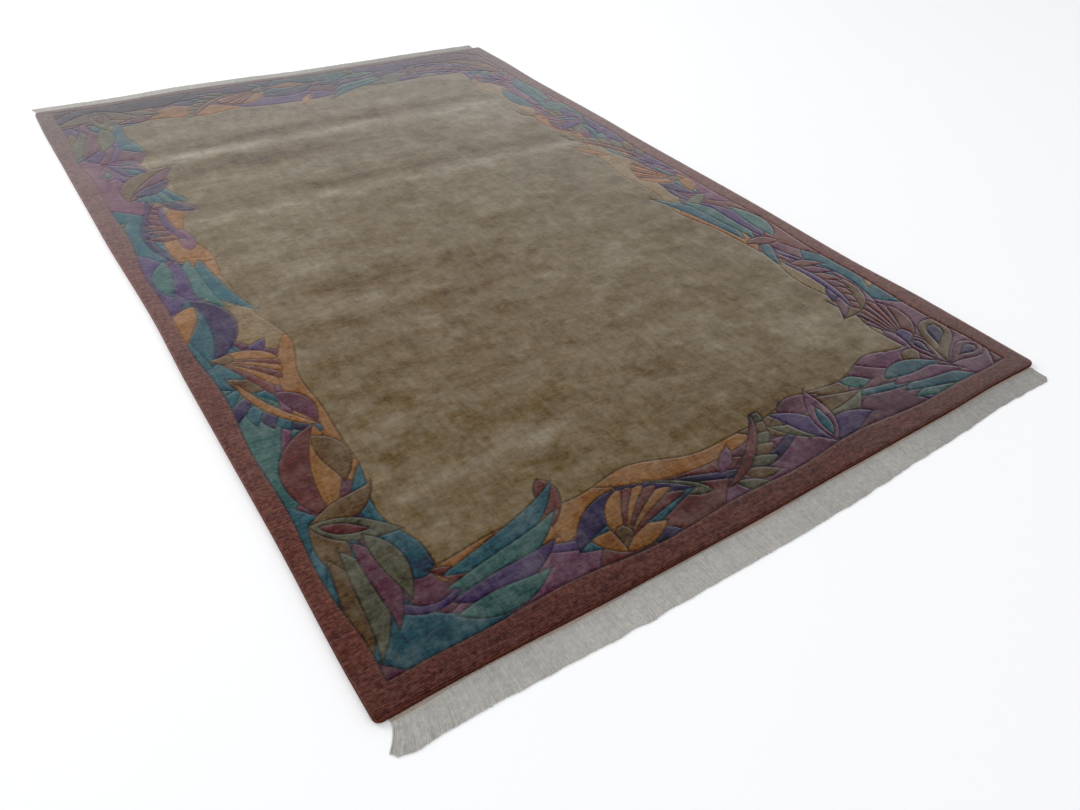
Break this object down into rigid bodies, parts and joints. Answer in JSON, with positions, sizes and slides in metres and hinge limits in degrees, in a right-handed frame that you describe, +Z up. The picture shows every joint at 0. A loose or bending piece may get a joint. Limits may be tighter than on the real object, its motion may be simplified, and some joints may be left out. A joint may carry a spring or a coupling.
{
  "type": "hand-knotted rug",
  "caption": "Flat rectangular wool rug with a plain field, a border of carved foliage inside a plain frame, and a short cotton fringe at both ends.",
  "frame": {"origin": "middle of the underside, on the floor", "axes": "+X across the rug, +Y along its length from the near end to the far end, +Z up out of the pile"},
  "size_m": [2.015, 3.1807, 0.015],
  "materials": {
    "wool_pile": "dense cut wool pile with a soft silky sheen",
    "cotton_warp": "matt undyed cotton yarn"
  },
  "bodies": {
    "root": {"knotted_pile": "wool_pile", "fringe_near": "cotton_warp", "fringe_far": "cotton_warp"}
  },
  "joints": []
}
